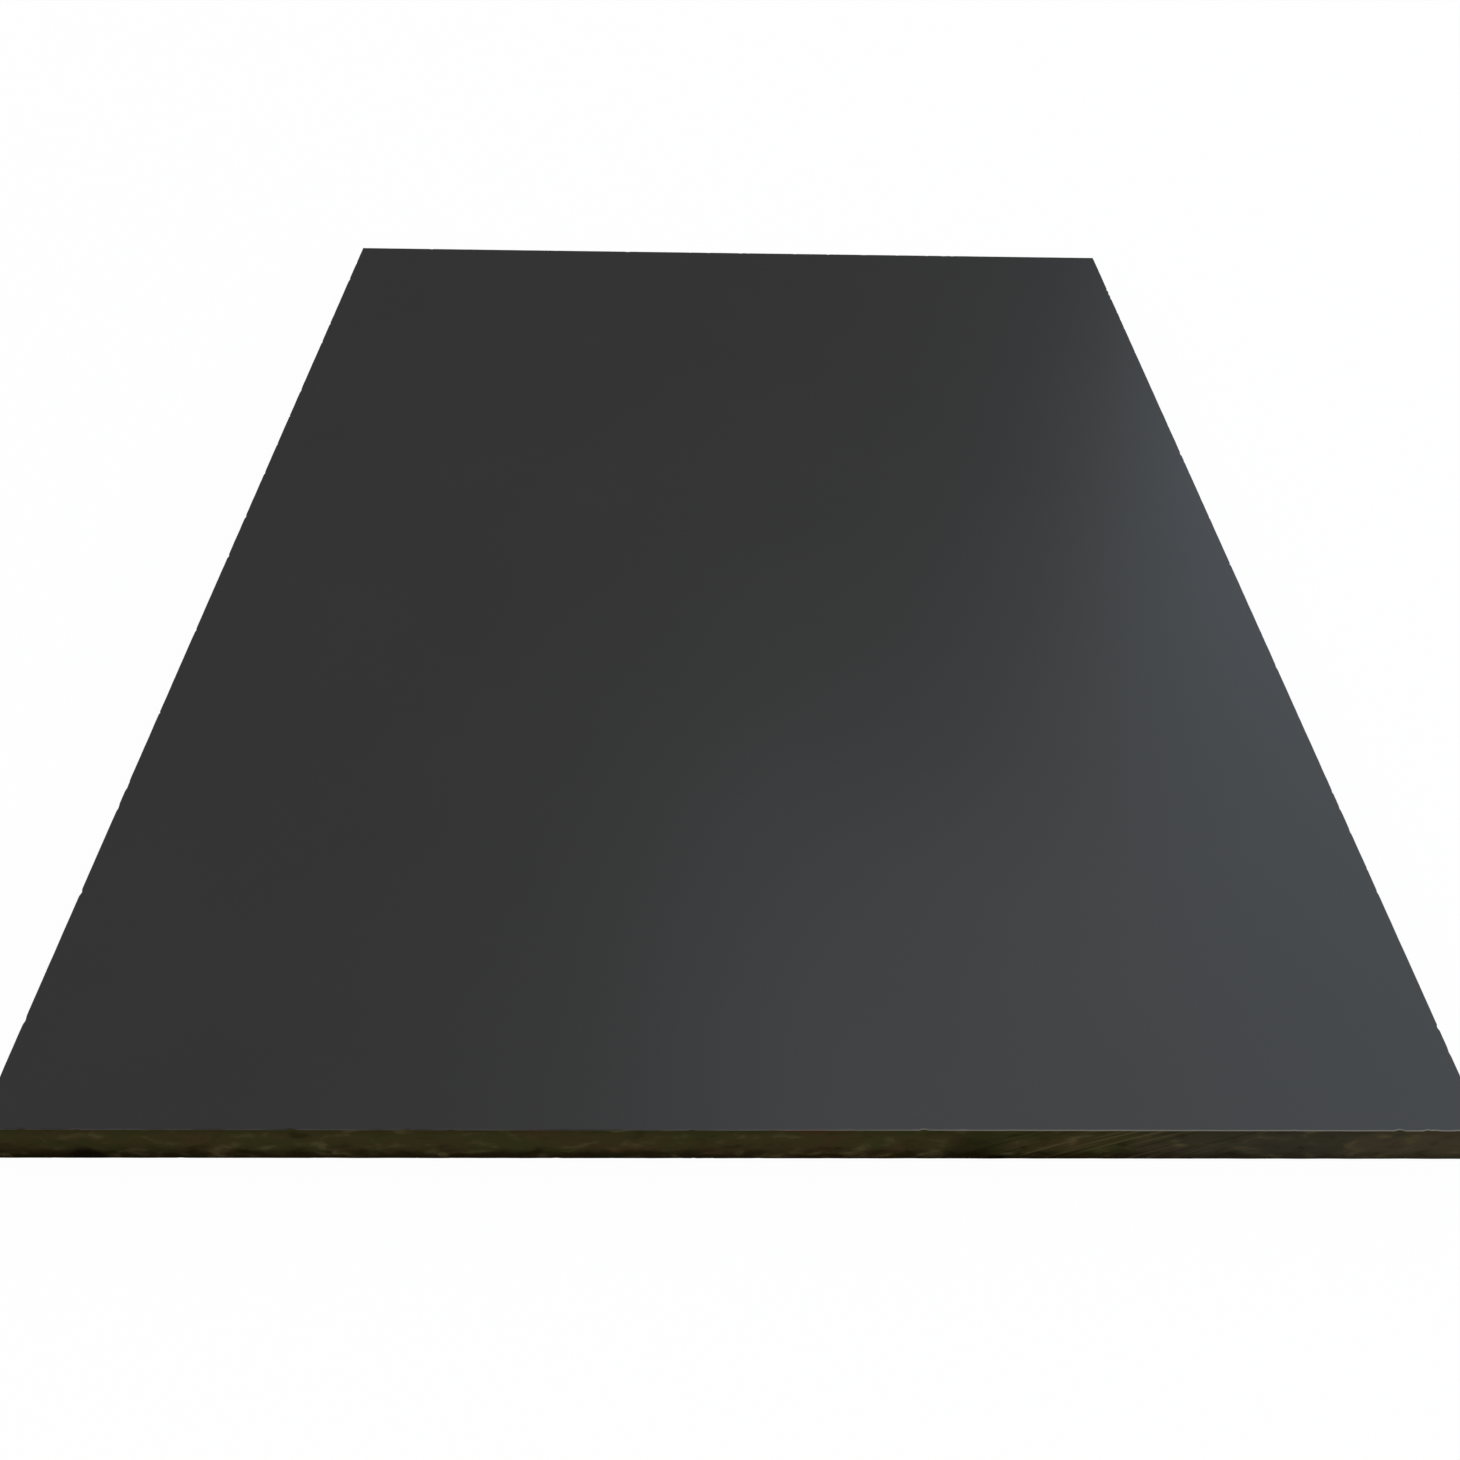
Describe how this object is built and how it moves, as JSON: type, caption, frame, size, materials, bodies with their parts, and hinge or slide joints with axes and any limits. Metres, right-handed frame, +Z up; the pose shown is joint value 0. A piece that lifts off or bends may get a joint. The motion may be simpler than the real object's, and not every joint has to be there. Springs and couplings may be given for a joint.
{
  "type": "high pressure laminate panel",
  "caption": "Flat rectangular panel of solid compact laminate with satin dark grey decor faces and sawn brown edges, for cladding, partitions and worktops.",
  "frame": {"origin": "middle of the underside, which is the plane the panel lies on", "axes": "+Z up through the thickness, +Y along the length, +X across the width"},
  "size_m": [0.28, 0.38, 0.01],
  "materials": {
    "laminate": "satin anthracite melamine faces, sawn brown phenolic edges"
  },
  "bodies": {
    "root": {"panel": "laminate"}
  },
  "joints": []
}
